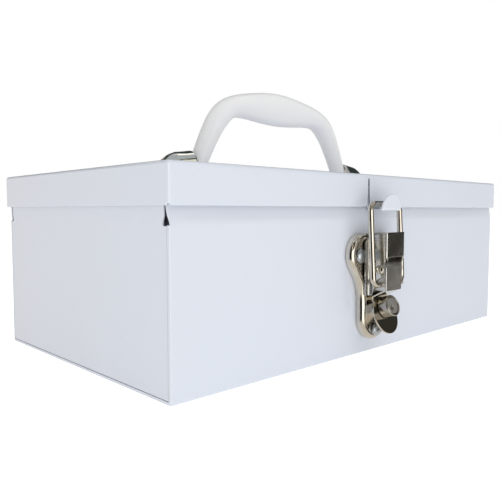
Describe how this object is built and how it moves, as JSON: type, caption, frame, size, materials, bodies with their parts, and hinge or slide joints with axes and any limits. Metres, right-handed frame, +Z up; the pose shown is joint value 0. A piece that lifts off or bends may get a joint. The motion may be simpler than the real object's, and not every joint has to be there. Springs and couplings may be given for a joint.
{
  "type": "sewing box",
  "caption": "Steel sewing box with a rear-hinged lid, cantilever trays inside, a folding carry handle and a locking draw latch.",
  "frame": {"origin": "centre of the flat bottom of the box body", "axes": "+Z up through the lid, +X along the length to the right seen from the front, -Y towards the front with the latch"},
  "size_m": [0.3046, 0.1938, 0.162],
  "materials": {
    "enamel": "glossy white stove enamel on folded sheet steel",
    "tray_enamel": "white stove enamel on pressed sheet steel",
    "nickel": "bright nickel plate, slightly warm",
    "satin_nickel": "satin nickel plate with fine rubbing marks",
    "chrome": "bright chrome plate",
    "zinc": "zinc-plated steel strip",
    "rivet": "domed rivets, pins and screws in zinc-plated steel",
    "handle_plastic": "smooth white moulded plastic"
  },
  "bodies": {
    "box": {"body_shell": "enamel", "end_wall_left": "enamel", "end_wall_right": "enamel", "arm_bracket_left": "zinc", "arm_bracket_right": "zinc", "arm_pivot_left": "zinc", "arm_pivot_right": "zinc", "hinge_body_leaf_left": "nickel", "hinge_body_leaf_right": "nickel", "hinge_pin_left": "nickel", "hinge_pin_right": "nickel", "latch_base_plate": "nickel", "latch_rivet_1": "rivet", "latch_rivet_2": "rivet", "latch_rivet_3": "rivet", "latch_bracket": "satin_nickel", "latch_pivot_pin": "rivet"},
    "lid": {"lid_shell": "enamel", "latch_keeper": "enamel", "hinge_lid_leaf_left": "nickel", "hinge_lid_leaf_right": "nickel", "lid_bracket_left": "zinc", "lid_bracket_right": "zinc", "handle_hood_left": "chrome", "handle_hood_right": "chrome", "handle_pin_left": "rivet", "handle_pin_right": "rivet", "hood_screw_left_1": "rivet", "hood_screw_left_2": "rivet", "hood_screw_right_1": "rivet", "hood_screw_right_2": "rivet"},
    "handle": {"handle_grip": "handle_plastic"},
    "left_arm": {"arm_left": "zinc"},
    "right_arm": {"arm_right": "zinc"},
    "top_tray": {"upper_tray": "tray_enamel", "upper_tray_divider_1": "tray_enamel", "upper_tray_divider_2": "tray_enamel", "upper_tray_divider_3": "tray_enamel", "upper_tray_arm_rivet_left": "rivet", "upper_tray_arm_rivet_right": "rivet", "upper_tray_lid_rivet_left": "rivet", "upper_tray_lid_rivet_right": "rivet"},
    "middle_tray": {"lower_tray": "tray_enamel", "lower_tray_divider_1": "tray_enamel", "lower_tray_divider_2": "tray_enamel", "lower_tray_arm_rivet_left": "rivet", "lower_tray_arm_rivet_right": "rivet", "lower_tray_lid_rivet_left": "rivet", "lower_tray_lid_rivet_right": "rivet"},
    "lever": {"latch_lever": "satin_nickel", "lock_cylinder": "nickel"},
    "bail": {"latch_bail": "nickel"},
    "lock": {"lock_plug": "satin_nickel", "lock_cam": "zinc"}
  },
  "joints": [
    {"name": "lid_hinge", "type": "hinge", "parent": "box", "child": "lid", "pos_m": [0, 0.088, 0.0819], "axis": [-1, 0, 0], "range_deg": [0, 100]},
    {"name": "left_arm_pivot", "type": "hinge", "parent": "box", "child": "left_arm", "pos_m": [-0.14665, 0.028, 0.0559], "axis": [-1, 0, 0], "range_deg": [0, 100]},
    {"name": "right_arm_pivot", "type": "hinge", "parent": "box", "child": "right_arm", "pos_m": [0.14665, 0.028, 0.0559], "axis": [-1, 0, 0], "range_deg": [0, 100]},
    {"name": "upper_tray_level", "type": "hinge", "parent": "lid", "child": "top_tray", "pos_m": [0, 0.013, 0.0819], "axis": [-1, 0, 0], "range_deg": [-100, 0]},
    {"name": "lower_tray_level", "type": "hinge", "parent": "lid", "child": "middle_tray", "pos_m": [0, 0.0505, 0.0819], "axis": [-1, 0, 0], "range_deg": [-100, 0]},
    {"name": "handle_fold", "type": "hinge", "parent": "lid", "child": "handle", "pos_m": [0, 0, 0.1098], "axis": [1, 0, 0], "range_deg": [-84, 84]},
    {"name": "latch_lever_pull", "type": "hinge", "parent": "box", "child": "lever", "pos_m": [-0.009, -0.098, 0.0495], "axis": [-1, 0, 0], "range_deg": [0, 90]},
    {"name": "bail_swing", "type": "hinge", "parent": "lever", "child": "bail", "pos_m": [-0.009, -0.0971, 0.041], "axis": [-1, 0, 0], "range_deg": [-76.5, 0]},
    {"name": "lock_turn", "type": "hinge", "parent": "lever", "child": "lock", "pos_m": [-0.009, -0.0948, 0.02661], "axis": [0, -0.9272, 0.3746], "range_deg": [0, 90]}
  ],
  "couplings": [
    {"joint": "left_arm_pivot", "follows": "lid_hinge", "ratio": 1},
    {"joint": "right_arm_pivot", "follows": "lid_hinge", "ratio": 1},
    {"joint": "upper_tray_level", "follows": "lid_hinge", "ratio": -1},
    {"joint": "lower_tray_level", "follows": "lid_hinge", "ratio": -1},
    {"joint": "bail_swing", "follows": "latch_lever_pull", "ratio": -0.85}
  ]
}
